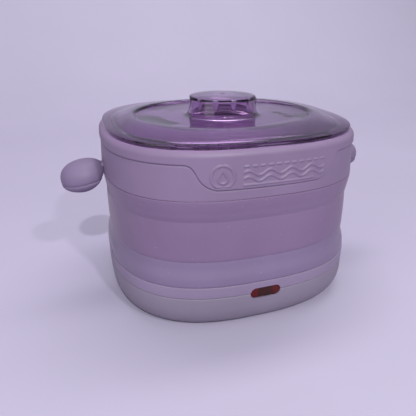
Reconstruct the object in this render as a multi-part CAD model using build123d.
from build123d import *
import math
import os

# Collapsible wax warmer pot. +Z is up, -Y is the front with the lamp, and the two side grips are on X.
# The origin is on the table, under the middle of the base. All sizes are in millimetres.

# ---- driving dimensions ----
squareness = 2.67            # exponent of the rounded-rectangle plan, where 2 is an ellipse
depth_shortfall = 3.7        # how much less the half-depth is than the half-width, all the way up
outline_points = 40          # points on a quarter-symmetric plan outline

foot_height = 1.5
base_split_height = 24.5     # the lower shell meets the upper ring here
base_top_height = 33.0
base_half_width = 92.5
base_bottom_half_width = 84.3
base_edge_rise = 15.0        # height of the rounded lower edge
base_wall = 2.4
base_floor = 2.5
seam_gap = 0.25              # shadow gap between two mouldings

waist_height = 50.0          # the lower band ends in a crease here
mid_top_height = 78.3
upper_band_bottom = 85.6
collar_bottom = 93.5
rim_top = 124.0
waist_half_width = 89.4
mid_half_width = 90.1
mid_shoulder_height = 69.0   # the middle band narrows above this, to pass inside the collar
mid_top_half_width = 89.5
band_wall = 1.6
web_wall = 1.0
collar_half_width = 91.8     # at the bottom of the collar
collar_taper = 0.05          # half-width lost per millimetre of height
collar_wall = 1.3

rim_edge_height = 116.0      # lower edge of the raised rim band
rim_proud = 0.9
rim_round = 4.0
front_x = 1.5                # middle of the lamp and of the panel that drops from the band at the front
panel_bottom = 100.4
panel_top_half_width = 48.5
panel_bottom_half_width = 40.5
panel_corner = 7.0
mouth_half_width = 82.0
lip_depth = 5.5              # height of the lip round the mouth

lid_half_width = 88.5
lid_flange = 3.0
lid_wall = 2.2
lid_skirt_wall = 2.0
lid_dome_half_width = 80.0
lid_ridge_half_width = 67.6
lid_ridge_half_depth = 58.2
lid_ridge_height = 130.8
lid_disc_height = 128.9
lid_ridge_width = 3.0
lid_skirt_half_width = 81.3
lid_skirt_depth = 7.0
knob_base_radius = 26.0
knob_top_radius = 24.2
knob_height = 13.6
knob_crown = 0.9             # rise of the knob's top towards its middle
knob_rib_count = 12
vent_count = 3
vent_size = (7.0, 1.2)
vent_radius = 42.3           # of the first slot from the lid's middle
vent_radius_step = 3.6
vent_turn = -12.0
vent_turn_step = -9.6

grip_radius = 16.5
grip_centre = 105.0          # distance of the grip's middle from the pot's middle
grip_split = 88.0            # height of the line between its two shells, at its middle
grip_rise = 13.3             # how far the upper shell rises over that line
grip_drop = 8.5              # how far the lower shell hangs below it
grip_squareness = 2.5        # exponent of the upper shell's side, where 2 is an ellipse
grip_droop = 9.5             # degrees that the outer end hangs down
grip_post_radius = 2.5
grip_post_reach = 7.0        # from the grip's middle, outwards
grip_post_height = 6.0
grip_screw_rows = (-3.6, 3.6)
grip_screw_height = 97.0
grip_screw_length = 13.0

foot_radius = 7.0
foot_socket = 0.8            # how deep a foot sits in the shell
foot_spread = 68.0           # half-width of the plan line the feet stand on
screw_spread = 74.0          # half-width of the plan line the shell screws stand on
screw_turns = (33, 147, 213, 327)
screw_radius = 1.5
screw_head_radius = 3.0
screw_head_top = 3.5
screw_post_radius = 4.0
floor_vent_size = (30.0, 2.4)
floor_vent_y = 30.0          # of the first cooling slot
floor_vent_pitch = 6.0
floor_vent_count = 5
lug_thickness = 2.2

ledge_half_width = 83.0      # inner edge of the ring's ledge under the pan
ledge_thickness = 2.5
clamp_spread = 84.6
clamp_turns = (0, 60, 90, 120, 180, 240, 270, 300)
clamp_screw_radius = 1.2
clamp_ring_half_width = 86.2
clamp_ring_thickness = 1.5
silicone_flange = 1.4
pan_rim_half_width = 86.0
pan_rim_thickness = 1.4
pan_floor_height = 29.0
pan_thickness = 1.5
pan_half_width = 79.0
stud_bottom = 13.0
stud_radius = 2.0
shield_height = 17.5
shield_half_width = 66.0
shield_thickness = 0.8
element_radius = 48.0
element_tube = 3.2
element_ends = (105, 75)     # turns, in degrees, where the element's ends come down
thermostat_x = 24.0
fuse_x = -24.0

board_bottom = 9.0
board_size = (60.0, 34.0, 1.6)
board_y = -25.0
board_hole_radius = 1.2

lens_width = 22.0
lens_height = 8.0
lens_border = 1.5            # of the flange behind the shell wall
dial_x = 24.0
dial_height = 13.5
dial_radius = 8.0
dial_pocket_radius = 9.2
dial_pocket_depth = 9.5
dial_thickness = 8.0
dial_grip = 5.0              # how far the shaft reaches into the dial
pocket_wall = 1.8
bush_radius = 3.5
shaft_radius = 2.5
inlet_x = -22.0
inlet_height = 15.0
inlet_size = (26.0, 13.0)
inlet_cavity = (19.0, 9.5)
pin_spacing = 10.0
wire_radius = 0.9

# ---- heights that follow from these ----
inner_floor = foot_height + base_floor
pan_rim_bottom = base_top_height + silicone_flange
pan_underside = pan_floor_height - pan_thickness

os.makedirs("parts", exist_ok=True)


# ---- helpers ----
def plan(half_width, height, exponent=squareness, half_depth=None):
    """A level face with the pot's rounded-rectangle plan."""
    depth = half_width - depth_shortfall if half_depth is None else half_depth
    points = []
    for step in range(outline_points):
        turn = 2 * math.pi * (step + 0.5) / outline_points
        across, along = math.cos(turn), math.sin(turn)
        x = half_width * math.copysign(abs(across) ** (2 / exponent), across)
        y = depth * math.copysign(abs(along) ** (2 / exponent), along)
        points.append((x, y, height))
    return make_face(Spline(*points, periodic=True))


def stack(levels):
    """A solid through level plans, each given as (half-width, height)."""
    return loft([plan(width, height) for width, height in levels], ruled=True)


def front_edge(half_width):
    """How far the plan's straight front or back lies from the middle."""
    return half_width - depth_shortfall


def plan_point(half_width, turn):
    """A point on the plan, at a turn in degrees counted from +X."""
    across, along = math.cos(math.radians(turn)), math.sin(math.radians(turn))
    x = half_width * math.copysign(abs(across) ** (2 / squareness), across)
    y = front_edge(half_width) * math.copysign(abs(along) ** (2 / squareness), along)
    return x, y


def upright(radius, bottom, top, x=0, y=0):
    """A vertical cylinder between two heights."""
    return Pos(x, y, bottom) * Cylinder(radius, top - bottom, align=(Align.CENTER, Align.CENTER, Align.MIN))


def along_y(radius, start, end, x, z):
    """A cylinder along Y between two depths."""
    blank = Cylinder(radius, end - start, align=(Align.CENTER, Align.CENTER, Align.MIN))
    return Pos(x, start, z) * Rot(-90, 0, 0) * blank


def block(x_size, y_size, z_size, x, y, bottom):
    """A box centred on x and y and standing on a height."""
    return Pos(x, y, bottom) * Box(x_size, y_size, z_size, align=(Align.CENTER, Align.CENTER, Align.MIN))


def pill_along_y(width, height, start, end, x, z):
    """A bar with round ends seen from the front, between two depths."""
    outline = Plane.XZ.offset(-start) * Pos(x, z) * SlotOverall(width, height)
    return extrude(outline, amount=-(end - start))


def save(shape, node):
    """Write one named piece."""
    shape.label = node
    export_step(shape, f"parts/{node}.step")


# ---- base ----
def base_outer_levels():
    """The lower shell's outside, with its rounded lower edge."""
    levels = []
    edge_steps = 6
    for step in range(edge_steps + 1):
        turn = math.pi / 2 * step / edge_steps
        width = base_bottom_half_width + (base_half_width - base_bottom_half_width) * math.sin(turn)
        levels.append((width, foot_height + base_edge_rise * (1 - math.cos(turn))))
    levels.append((base_half_width, base_split_height))
    return levels


foot_positions = [plan_point(foot_spread, turn) for turn in (45, 135, 225, 315)]
shell_screw_positions = [plan_point(screw_spread, turn) for turn in screw_turns]
clamp_screw_positions = [plan_point(clamp_spread, turn) for turn in clamp_turns]
board_post_positions = [(x, board_y + y) for x in (-26, 26) for y in (-13, 13)]


def make_base_lower_shell():
    levels = base_outer_levels()
    shell = stack(levels)
    inner = [(width - base_wall, height) for width, height in levels if height > inner_floor]
    inner.insert(0, (base_bottom_half_width - base_wall, inner_floor))
    inner[-1] = (base_half_width - base_wall, base_split_height + 1)
    shell -= stack(inner)
    for x, y in foot_positions:
        shell -= upright(foot_radius, 0, foot_height + foot_socket, x, y)
    for x, y in shell_screw_positions:
        shell += upright(screw_post_radius, inner_floor - 0.5, base_split_height, x, y)
        shell -= upright(screw_radius, 0, base_split_height + 1, x, y)
        shell -= upright(screw_head_radius, 0, screw_head_top, x, y)
    for x, y in board_post_positions:
        shell += upright(3.0, inner_floor - 0.5, board_bottom, x, y)
    for row in range(floor_vent_count):
        slot_length, slot_width = floor_vent_size
        shell -= block(slot_length, slot_width, 10, 0, floor_vent_y + floor_vent_pitch * row, 0)
    shell -= lens_hole()
    wall = front_edge(base_half_width)
    pocket_floor = wall - dial_pocket_depth
    pocket = along_y(
        dial_pocket_radius + pocket_wall, pocket_floor - pocket_wall, wall + 5, dial_x, dial_height
    )
    shell += pocket & stack(levels)
    shell -= along_y(dial_pocket_radius, pocket_floor, wall + 5, dial_x, dial_height)
    shell -= along_y(bush_radius + 0.1, wall - 20, wall, dial_x, dial_height)
    width, height = inlet_size
    shell -= block(width + 0.2, 30, height + 0.2, inlet_x, wall - 5, inlet_height - height / 2 - 0.1)
    return shell


def lens_hole():
    wall_face = front_edge(base_half_width)
    return pill_along_y(lens_width, lens_height, -wall_face - 3, -wall_face + 8, front_x, base_split_height)



def make_base_upper_ring():
    low = base_split_height + seam_gap
    inner = base_half_width - base_wall
    outside = [
        (base_half_width, low),
        (base_half_width + 0.2, base_top_height - 1),
        (base_half_width - 0.3, base_top_height),
    ]
    ring = stack(outside)
    ring -= stack([(inner, low - 1), (inner, base_top_height - ledge_thickness)])
    ring -= stack([(ledge_half_width, low), (ledge_half_width, base_top_height + 1)])
    for turn in screw_turns:
        ring += ring_lug(turn)
    ring -= lens_hole()
    for x, y in clamp_screw_positions:
        ring -= upright(clamp_screw_radius, base_top_height - 5, base_top_height + 2, x, y)
    return ring


def ring_lug(turn):
    """A tongue from the ring's wall in under the pan, which takes one shell screw."""
    inner_x, inner_y = plan_point(screw_spread, turn)
    outer_x, outer_y = plan_point(base_half_width - 1.5, turn)
    length = math.hypot(outer_x - inner_x, outer_y - inner_y)
    heading = math.degrees(math.atan2(outer_y - inner_y, outer_x - inner_x))
    bottom = base_split_height + seam_gap
    arm = block(length, 2 * screw_post_radius, lug_thickness, length / 2, 0, bottom)
    lug = Pos(inner_x, inner_y, 0) * Rot(0, 0, heading) * arm
    lug += upright(screw_post_radius, bottom, bottom + lug_thickness, inner_x, inner_y)
    return lug - upright(screw_radius, 0, base_top_height, inner_x, inner_y)


def make_heating_pan():
    rim_top_height = pan_rim_bottom + pan_rim_thickness
    pan = stack([(pan_rim_half_width, pan_rim_bottom), (pan_rim_half_width, rim_top_height)])
    outside = [
        (pan_half_width, pan_underside),
        (pan_half_width + 3.0, pan_floor_height + 1),
        (pan_half_width + 3.4, pan_rim_bottom + 0.2),
    ]
    inside = [
        (pan_half_width - 0.5, pan_floor_height),
        (pan_half_width + 1.4, pan_floor_height + 2),
        (pan_half_width + 1.8, rim_top_height + 1),
    ]
    pan += stack(outside)
    pan -= stack(inside)
    pan += upright(stud_radius, stud_bottom, pan_underside + 0.2)
    for x, y in clamp_screw_positions:
        pan -= upright(clamp_screw_radius, 0, pan_rim_bottom + 0.9, x, y)
    return pan


def make_clamp_ring():
    top = base_top_height - ledge_thickness
    ring = stack([(clamp_ring_half_width, top - clamp_ring_thickness), (clamp_ring_half_width, top)])
    ring -= stack([(ledge_half_width, top - 5), (ledge_half_width, top + 1)])
    for x, y in clamp_screw_positions:
        ring -= upright(clamp_screw_radius, 0, base_top_height, x, y)
    return ring


def make_clamp_screws():
    head_top = base_top_height - ledge_thickness - clamp_ring_thickness
    screws = []
    for x, y in clamp_screw_positions:
        head = upright(2.3, head_top - 1.6, head_top, x, y)
        screws.append(head + upright(clamp_screw_radius, head_top - 0.1, pan_rim_bottom + 0.8, x, y))
    return Compound(children=screws)


def make_heating_element():
    """A ring-shaped tube pressed to the pan's underside, with both ends turned down."""
    centre_height = pan_underside - element_tube
    start_turn, end_turn = element_ends
    path = CenterArc((0, 0, centre_height), element_radius, start_turn, 360 + end_turn - start_turn)
    start = Plane(origin=path @ 0, z_dir=path % 0)
    element = sweep(start * Circle(element_tube), path=path)
    for end in (path @ 0, path @ 1):
        element += upright(1.6, shield_height - 3.5, centre_height, end.X, end.Y)
    return element


def make_heat_shield():
    top = shield_height + shield_thickness
    shield = stack([(shield_half_width, shield_height), (shield_half_width, top)])
    shield -= upright(stud_radius + 0.1, 0, 30)
    for turn in element_ends:
        x, y = element_end(turn)
        shield -= upright(4.0, 0, 30, x, y)
    return shield


def element_end(turn):
    """Where an end of the heating element comes down, in plan."""
    return element_radius * math.cos(math.radians(turn)), element_radius * math.sin(math.radians(turn))


def make_shield_nut():
    bottom = shield_height - 3.2
    nut = Pos(0, 0, bottom) * extrude(RegularPolygon(4.0, 6), amount=3.2)
    return nut - upright(stud_radius, 0, 40)


def make_thermostat():
    """A snap-disc switch with a flange against the pan and two blade terminals."""
    top = pan_underside
    can = upright(8.0, top - 6.5, top, thermostat_x, 0) + upright(9.5, top - 1.0, top, thermostat_x, 0)
    for y in (-4, 4):
        can += block(0.8, 5.0, 2.2, thermostat_x + 4, y, top - 8.5)
    return can


def make_thermal_fuse():
    place = Pos(fuse_x, 0, pan_underside - 2.4) * Rot(90, 0, 0)
    body = place * Cylinder(2.2, 12)
    leads = place * Cylinder(0.6, 26)
    return body + leads


def make_control_board():
    board = block(board_size[0], board_size[1], board_size[2], 0, board_y, board_bottom)
    for x, y in board_post_positions:
        board -= upright(board_hole_radius, 0, 30, x, y)
    return board


def make_board_components():
    top = board_bottom + board_size[2]
    relay = fillet(block(15, 10, 5.2, -14, board_y, top).edges().filter_by(Axis.Z), 0.8)
    capacitor = upright(4.0, top, top + 5.6, 4, board_y + 6)
    driver = block(8, 4, 4.2, 14, board_y - 4, top)
    connector = block(10, 6, 5.0, 6, board_y - 8, top)
    return Compound(children=[relay, capacitor, driver, connector])


def make_board_screws():
    top = board_bottom + board_size[2]
    screws = []
    for x, y in board_post_positions:
        head = upright(2.2, top, top + 1.4, x, y)
        screws.append(head + upright(board_hole_radius, board_bottom, top + 0.1, x, y))
    return Compound(children=screws)


def make_indicator_lens():
    face = -front_edge(base_half_width)
    slack = 0.15
    behind = face + base_wall + 0.3
    width, height = lens_width - 2 * slack, lens_height - 2 * slack
    lens = pill_along_y(width, height, face + 0.3, behind + 0.2, front_x, base_split_height)
    width, height = lens_width + 2 * lens_border, lens_height + 2 * lens_border
    lens += pill_along_y(width, height, behind, behind + 1.2, front_x, base_split_height)
    pocket = Pos(front_x, behind + 0.3, base_split_height) * Box(11.5, 2.6, 5.0)
    return lens - pocket


def make_indicator_lamp():
    face = -front_edge(base_half_width)
    start = face + base_wall + 1.9
    lamp = along_y(2.5, start, start + 7, front_x, base_split_height)
    lamp += along_y(2.9, start + 6, start + 7.5, front_x, base_split_height)
    for x in (front_x - 1.27, front_x + 1.27):
        lamp += along_y(0.4, start + 7, start + 12, x, base_split_height)
    return lamp


def dial_places():
    """The depths of the pocket's back face and of the dial's inner face."""
    pocket_floor = front_edge(base_half_width) - dial_pocket_depth
    return pocket_floor - pocket_wall, pocket_floor + 0.6


def make_dial_control():
    """The temperature control behind its pocket, with its bush through the shell."""
    back, dial_start = dial_places()
    body = block(12, 8, 12, dial_x, back - 4.1, dial_height - 6)
    bush = along_y(bush_radius, back - 0.5, dial_start - 0.4, dial_x, dial_height)
    bore = along_y(shaft_radius + 0.05, back - 6.4, dial_start + 3, dial_x, dial_height)
    return body + bush - bore


def make_dial_shaft():
    back, dial_start = dial_places()
    return along_y(shaft_radius, back - 6.2, dial_start + dial_grip, dial_x, dial_height)


def make_temperature_dial():
    dial_start = dial_places()[1]
    dial = along_y(dial_radius, dial_start, dial_start + dial_thickness, dial_x, dial_height)
    dial = chamfer(dial.edges().filter_by(GeomType.CIRCLE).sort_by(Axis.Y)[-1], 0.8)
    flutes = 16
    for step in range(flutes):
        turn = math.radians(360 / flutes * step)
        x = dial_x + (dial_radius + 0.5) * math.cos(turn)
        z = dial_height + (dial_radius + 0.5) * math.sin(turn)
        dial -= along_y(1.0, dial_start + 2, dial_start + 10, x, z)
    dial -= along_y(shaft_radius, dial_start - 1, dial_start + dial_grip, dial_x, dial_height)
    dial -= block(1.4, 1.2, 5.5, dial_x, dial_start + dial_thickness, dial_height + 1.5)
    return dial


def make_inlet_housing():
    """The recessed power socket, open to the back."""
    wall = front_edge(base_half_width)
    width, height = inlet_size
    housing = block(width, 17, height, inlet_x, wall - 9.0, inlet_height - height / 2)
    cavity = pill_along_y(*inlet_cavity, wall - 13, wall + 2, inlet_x, inlet_height)
    return housing - cavity - inlet_pin_pair(wall)


def inlet_pin_pair(wall):
    pins = []
    for side in (-1, 1):
        pins.append(along_y(1.2, wall - 21, wall - 3.5, inlet_x + side * pin_spacing / 2, inlet_height))
    return Compound(children=pins)


def make_rubber_feet():
    feet = [upright(foot_radius, 0, foot_height + foot_socket, x, y) for x, y in foot_positions]
    return Compound(children=feet)


def make_shell_screws():
    head_bottom = foot_height + 0.3
    tip = base_split_height + lug_thickness
    screws = []
    for x, y in shell_screw_positions:
        head = upright(screw_head_radius, head_bottom, screw_head_top, x, y)
        screws.append(head + upright(screw_radius, screw_head_top - 0.1, tip, x, y))
    return Compound(children=screws)


def wire(*points):
    """A covered wire along a smooth line through points."""
    path = Spline(*points)
    start = Plane(origin=path @ 0, z_dir=path % 0)
    return sweep(start * Circle(wire_radius), path=path)


def make_internal_wires():
    """Two leads from the inlet and two from the element, all down to the back edge of the board."""
    pin_back = front_edge(base_half_width) - 22.0
    board_edge = (-6, 8.2)
    wires = []
    for side in (-1, 1):
        pin_x = inlet_x + side * pin_spacing / 2
        middle = (inlet_x + 4 * side, 20, 7.5)
        end = (inlet_x + 3 + 5 * side, *board_edge)
        wires.append(wire((pin_x, pin_back, inlet_height), (pin_x, 48, 8.0 + side), middle, end))
    for side, turn in zip((-1, 1), element_ends):
        x, y = element_end(turn)
        middle = (6 + 4 * side, 12, 7.0)
        end = (12 + 4 * side, *board_edge)
        wires.append(wire((x, y, shield_height - 4.6), (x * 0.9, y - 8, 9.0), middle, end))
    return Compound(children=wires)


# ---- silicone wall ----
def ring_between(outer, inner):
    """A wall between two stacks, the inner one cut through both ends."""
    low = (inner[0][0], inner[0][1] - 0.01)
    high = (inner[-1][0], inner[-1][1] + 0.01)
    return stack(outer) - stack([low] + inner[1:-1] + [high])


def make_silicone_lower_band():
    """A cone from the waist crease out to the base, with a flange clamped under the pan."""
    foot = (base_half_width - 0.6, base_top_height + 0.1)
    shoulder = (base_half_width - 0.9, base_top_height + 6)
    waist = (waist_half_width, waist_height)
    outside = [foot, shoulder, waist]
    cone = ring_between(outside, [(width - silicone_flange, height) for width, height in outside])
    flange_top = base_top_height + silicone_flange
    flange = stack([(base_half_width - 1.2, base_top_height), (base_half_width - 1.4, flange_top)])
    flange -= stack([(ledge_half_width, base_top_height - 1), (ledge_half_width, flange_top + 1)])
    for x, y in clamp_screw_positions:
        flange -= upright(clamp_screw_radius, base_top_height - 1, flange_top + 1, x, y)
    return cone + flange


def make_silicone_mid_band():
    low = waist_height + 0.4
    outer = [
        (waist_half_width + 0.1, low),
        (mid_half_width, low + 2),
        (mid_half_width, mid_shoulder_height),
        (mid_top_half_width, mid_top_height),
    ]
    inner = [(waist_half_width - band_wall, low), (mid_top_half_width - band_wall, mid_top_height)]
    return ring_between(outer, inner)


def make_silicone_upper_web():
    """The thin hinge that rolls over when the collar is pushed down."""
    rise = upper_band_bottom - mid_top_height
    outer = [
        (mid_top_half_width - 0.2, mid_top_height + 0.05),
        (mid_top_half_width + 0.3, mid_top_height + 0.25 * rise),
        (collar_half_width - 0.8, mid_top_height + 0.8 * rise),
        (collar_half_width - 0.4, upper_band_bottom - 0.05),
    ]
    inner = [(width - web_wall, height) for width, height in outer]
    return ring_between(outer, inner)


def make_silicone_upper_band():
    width = collar_half_width
    top = collar_bottom - seam_gap
    outer = [(width - 0.4, upper_band_bottom), (width, upper_band_bottom + 1), (width, top)]
    return ring_between(outer, [(width - collar_wall, upper_band_bottom), (width - collar_wall, top)])


# ---- collar, rim and grips ----
def collar_width(height):
    return collar_half_width - collar_taper * (height - collar_bottom)


def make_collar_ring():
    """The rigid collar, moulded in one with the raised rim band and the front panel that drops from it."""
    lip_bottom = rim_top - lip_depth
    core_top = rim_top - rim_round - 0.5
    ring = stack([(collar_width(collar_bottom), collar_bottom), (collar_width(core_top), core_top)])
    ring += rim_skin() & (rim_mask() + panel_mask())
    inside = [
        (collar_width(collar_bottom) - collar_wall, collar_bottom - 1),
        (collar_width(lip_bottom - 3) - collar_wall, lip_bottom - 3),
        (mouth_half_width, lip_bottom),
    ]
    ring -= stack(inside)
    ring -= stack([(mouth_half_width, lip_bottom - 2), (mouth_half_width, rim_top + 1)])
    for side in (-1, 1):
        for y in grip_screw_rows:
            ring -= grip_screw(side, y)
    return ring


def rim_skin():
    """The raised surface that the rim band and the panel are cut from, rounded over at the top."""
    low = panel_bottom - 1
    top_width = collar_width(rim_top) + rim_proud
    straight_top = rim_top - rim_round
    levels = [(collar_width(low) + rim_proud, low), (collar_width(straight_top) + rim_proud, straight_top)]
    round_steps = 5
    for step in range(1, round_steps + 1):
        turn = math.pi / 2 * step / round_steps
        sink = rim_round * (1 - math.sin(math.pi / 2 - turn))
        levels.append((top_width - sink, rim_top - rim_round * (1 - math.sin(turn))))
    return stack(levels)


def rim_mask():
    reach = 3 * base_half_width
    return block(reach, reach, 40, 0, 0, rim_edge_height)


def panel_mask():
    reach = Plane.XZ.offset(front_edge(collar_half_width) - 30)
    return extrude(reach * panel_outline(), amount=60)


def panel_outline():
    """The dropped panel, seen from the front, running up into the band."""
    slope = (panel_top_half_width - panel_bottom_half_width) / (rim_edge_height - panel_bottom)
    high = rim_edge_height + 4
    high_half = panel_top_half_width + slope * 4
    corners = [
        (front_x - high_half, high),
        (front_x - panel_bottom_half_width, panel_bottom),
        (front_x + panel_bottom_half_width, panel_bottom),
        (front_x + high_half, high),
    ]
    face = make_face(Polyline(*corners, close=True))
    return fillet(face.vertices().sort_by(Axis.Y)[:2], panel_corner)


def grip_screw(side, y):
    """A countersunk screw from inside the collar into the grip."""
    inside = collar_width(grip_screw_height) - collar_wall + 0.1
    head = Cone(2.8, 1.4, 1.4, align=(Align.CENTER, Align.CENTER, Align.MIN))
    shank = Cylinder(1.4, grip_screw_length, align=(Align.CENTER, Align.CENTER, Align.MIN))
    return Pos(side * inside, y, grip_screw_height) * Rot(0, 90 * side, 0) * (head + shank)


def grip_half(height, exponent):
    """Half of the pebble, with a side that curves in to its middle: the lower half if height is negative."""
    steps = 8
    points = []
    for step in range(steps + 1):
        turn = math.pi / 2 * step / steps
        x = grip_radius * max(math.cos(turn), 0) ** (2 / exponent)
        points.append((x, height * math.sin(turn) ** (2 / exponent)))
    points[-1] = (0, height)
    side_line = Spline(*points, tangents=[(0, math.copysign(1, height)), (-1, 0)])
    outline = [side_line, Line((0, height), (0, 0)), Line((0, 0), (grip_radius, 0))]
    return revolve(Plane.XZ * make_face(outline), axis=Axis.Z)


def place_grip(side, shape):
    """Sets a grip shell on its side of the pot, with its outer end drooping."""
    return Pos(side * grip_centre, 0, grip_split) * Rot(0, side * grip_droop, 0) * shape


def collar_space():
    """The collar's outside and the room below it, which the grips are trimmed to."""
    low, high = grip_split - 15, grip_split + 20
    clearance = 0.35
    wide = collar_half_width + clearance
    space = stack([(wide, low), (wide, collar_bottom)])
    return space + stack([(collar_width(collar_bottom), collar_bottom), (collar_width(high), high)])


def make_grip_upper(side):
    shell = grip_half(grip_rise, grip_squareness)
    shell -= upright(grip_post_radius, -1, grip_post_height, side * grip_post_reach)
    shell = place_grip(side, shell) - collar_space()
    for y in grip_screw_rows:
        shell -= grip_screw(side, y)
    return shell


def make_grip_lower(side):
    shell = Pos(0, 0, -seam_gap) * grip_half(-grip_drop, 2)
    shell += upright(grip_post_radius - 0.1, -2, grip_post_height - 0.2, side * grip_post_reach)
    return place_grip(side, shell) - collar_space()


# ---- lid ----
def lid_ridge(half_width, height):
    ratio = lid_ridge_half_depth / lid_ridge_half_width
    return plan(half_width, height, exponent=2.06, half_depth=half_width * ratio)


def make_lid():
    """One clear moulding: flange, shallow dome, ridge, sunken disc, hollow knob and locating skirt."""
    flange_top = rim_top + lid_flange
    skirt_bottom = rim_top - lid_skirt_depth
    skirt_inner = lid_skirt_half_width - lid_skirt_wall
    under = flange_top - lid_wall
    flange = [
        (lid_half_width - 0.6, rim_top),
        (lid_half_width, rim_top + 0.7),
        (lid_half_width, flange_top - 0.9),
        (lid_half_width - 0.9, flange_top),
    ]
    lid = stack(flange)
    dome_foot = plan(lid_dome_half_width, flange_top - 0.1)
    lid += between(dome_foot, lid_ridge(lid_ridge_half_width, lid_ridge_height))
    ridge_inner = lid_ridge(lid_ridge_half_width - 1.0, lid_ridge_height + 0.01)
    lid -= between(ridge_inner, lid_ridge(lid_ridge_half_width - lid_ridge_width, lid_disc_height))
    lid += stack([(lid_skirt_half_width, skirt_bottom), (lid_skirt_half_width, rim_top + 0.1)])
    dome_inner = lid_dome_half_width - 2.5
    lid -= stack([(skirt_inner, skirt_bottom - 1), (skirt_inner, rim_top - 0.2), (dome_inner, under)])
    lid -= between(plan(dome_inner - 0.01, under - 0.05),
                   lid_ridge(lid_ridge_half_width, lid_disc_height - lid_wall))
    lid += knob_outside()
    hollow_bottom = lid_disc_height - lid_wall - 1
    hollow_height = lid_disc_height + knob_height - lid_wall - hollow_bottom
    lid -= cone_from(hollow_bottom, knob_base_radius - lid_wall, knob_top_radius - lid_wall, hollow_height)
    for step in range(vent_count):
        slot = extrude(SlotOverall(*vent_size), amount=20)
        reach = vent_radius + vent_radius_step * step
        lid -= Rot(0, 0, vent_turn + vent_turn_step * step) * Pos(reach, 0, lid_disc_height - 10) * slot
    return lid


def between(low_face, high_face):
    """A solid with straight sides between two faces."""
    return loft([low_face, high_face], ruled=True)


def cone_from(bottom, low_radius, high_radius, height):
    """An upright cone on the pot's axis."""
    cone = Cone(low_radius, high_radius, height, align=(Align.CENTER, Align.CENTER, Align.MIN))
    return Pos(0, 0, bottom) * cone


def knob_outside():
    """The knob's tapered body with its slight crown and the ribs round its side."""
    knob_top = lid_disc_height + knob_height
    knob = cone_from(lid_disc_height - 1, knob_base_radius, knob_top_radius, knob_height + 1)
    knob = chamfer(knob.edges().sort_by(Axis.Z)[-1], 0.8)
    knob += cone_from(knob_top, knob_top_radius - 0.8, knob_top_radius / 2, knob_crown)
    lean = math.degrees(math.atan2(knob_base_radius - knob_top_radius, knob_height))
    rib = Rot(0, -lean, 0) * cone_from(0, 0.2, 1.5, knob_height - 2)
    for step in range(knob_rib_count):
        turn = 360 / knob_rib_count * (step + 0.5)
        knob += Rot(0, 0, turn) * Pos(knob_base_radius - 0.4, 0, lid_disc_height + 0.5) * rib
    return knob


# ---- every piece, by name ----
save(make_base_lower_shell(), "base_lower_shell")
save(make_base_upper_ring(), "base_upper_ring")
save(make_rubber_feet(), "rubber_feet")
save(make_shell_screws(), "shell_screws")
save(make_heating_pan(), "heating_pan")
save(make_clamp_ring(), "clamp_ring")
save(make_clamp_screws(), "clamp_screws")
save(make_heating_element(), "heating_element")
save(make_heat_shield(), "heat_shield")
save(make_shield_nut(), "shield_nut")
save(make_thermostat(), "thermostat")
save(make_thermal_fuse(), "thermal_fuse")
save(make_control_board(), "control_board")
save(make_board_components(), "board_components")
save(make_board_screws(), "board_screws")
save(make_indicator_lens(), "indicator_lens")
save(make_indicator_lamp(), "indicator_lamp")
save(make_dial_control(), "dial_control")
save(make_dial_shaft(), "dial_shaft")
save(make_temperature_dial(), "temperature_dial")
save(make_inlet_housing(), "inlet_housing")
save(inlet_pin_pair(front_edge(base_half_width)), "inlet_pins")
save(make_internal_wires(), "internal_wires")
save(make_silicone_lower_band(), "silicone_lower_band")
save(make_silicone_mid_band(), "silicone_mid_band")
save(make_silicone_upper_web(), "silicone_upper_web")
save(make_silicone_upper_band(), "silicone_upper_band")
save(make_collar_ring(), "collar_ring")
for side, name in ((-1, "left"), (1, "right")):
    save(make_grip_upper(side), f"{name}_grip_upper")
    save(make_grip_lower(side), f"{name}_grip_lower")
screws = [grip_screw(side, y) for side in (-1, 1) for y in grip_screw_rows]
save(Compound(children=screws), "grip_screws")
save(make_lid(), "lid")
